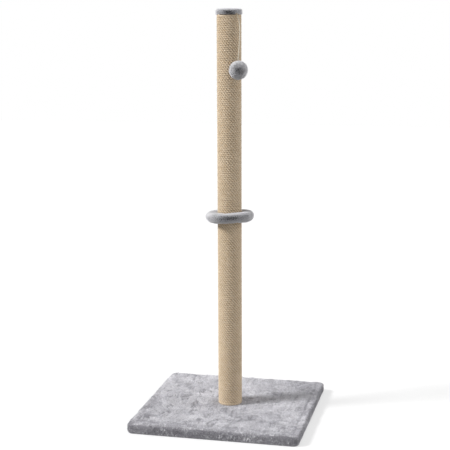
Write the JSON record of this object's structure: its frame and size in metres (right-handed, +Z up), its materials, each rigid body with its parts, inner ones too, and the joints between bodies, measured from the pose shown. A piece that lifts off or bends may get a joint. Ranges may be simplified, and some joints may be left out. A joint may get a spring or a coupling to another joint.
{
  "type": "cat scratching post",
  "caption": "Tall sisal-wound cat scratching post on a square plush base, with a stuffed plush ring at mid-height and a plush ball hanging from its cap.",
  "frame": {"origin": "centre of the base's underside, on the floor", "axes": "+Z up along the post, +X to the right along the base's front edge, +Y to the back"},
  "size_m": [0.49, 0.49, 1.18],
  "materials": {
    "grey_plush": "short silver-grey plush with a brushed nap",
    "sisal": "natural sisal rope, close wound",
    "cord": "off-white twisted cotton cord",
    "stuffing": "white polyester wadding",
    "liner": "thin black non-woven sheet",
    "board": "bare fibreboard",
    "plug_wood": "bare turned softwood",
    "cardboard": "spiral-wound brown board",
    "zinc_steel": "zinc plated",
    "staple_steel": "galvanised wire",
    "brass": "plain"
  },
  "bodies": {
    "root": {"base_board": "board", "base_cover": "grey_plush", "base_liner": "liner", "base_staples": "staple_steel", "base_bolt": "zinc_steel", "base_washer": "zinc_steel", "lower_tube": "cardboard", "upper_tube": "cardboard", "lower_tube_plugs": "plug_wood", "upper_tube_plugs": "plug_wood", "threaded_inserts": "brass", "joining_stud": "zinc_steel", "lower_sisal_wrap": "sisal", "upper_sisal_wrap": "sisal", "cap_disc": "board", "cap_screw": "zinc_steel", "cap_cover": "grey_plush", "cord_staple": "staple_steel"},
    "ring": {"ring_stuffing": "stuffing", "ring_cover": "grey_plush"},
    "knot": {"cord_knot": "cord"},
    "toy": {"toy_cord": "cord", "ball_core": "stuffing", "ball_cover": "grey_plush"}
  },
  "joints": [
    {"name": "ring_slide", "type": "slide", "parent": "root", "child": "ring", "axis": [0, 0, 1], "range_m": [-0.539, 0.366]},
    {"name": "toy_turn", "type": "hinge", "parent": "root", "child": "knot", "pos_m": [0.02856, -0.02329, 1.165], "axis": [0, 0, 1], "range_deg": [0, 63]},
    {"name": "toy_swing", "type": "hinge", "parent": "knot", "child": "toy", "pos_m": [0.02856, -0.02329, 1.165], "axis": [-0.9462, -0.3237, 0], "range_deg": [0, 75]}
  ]
}
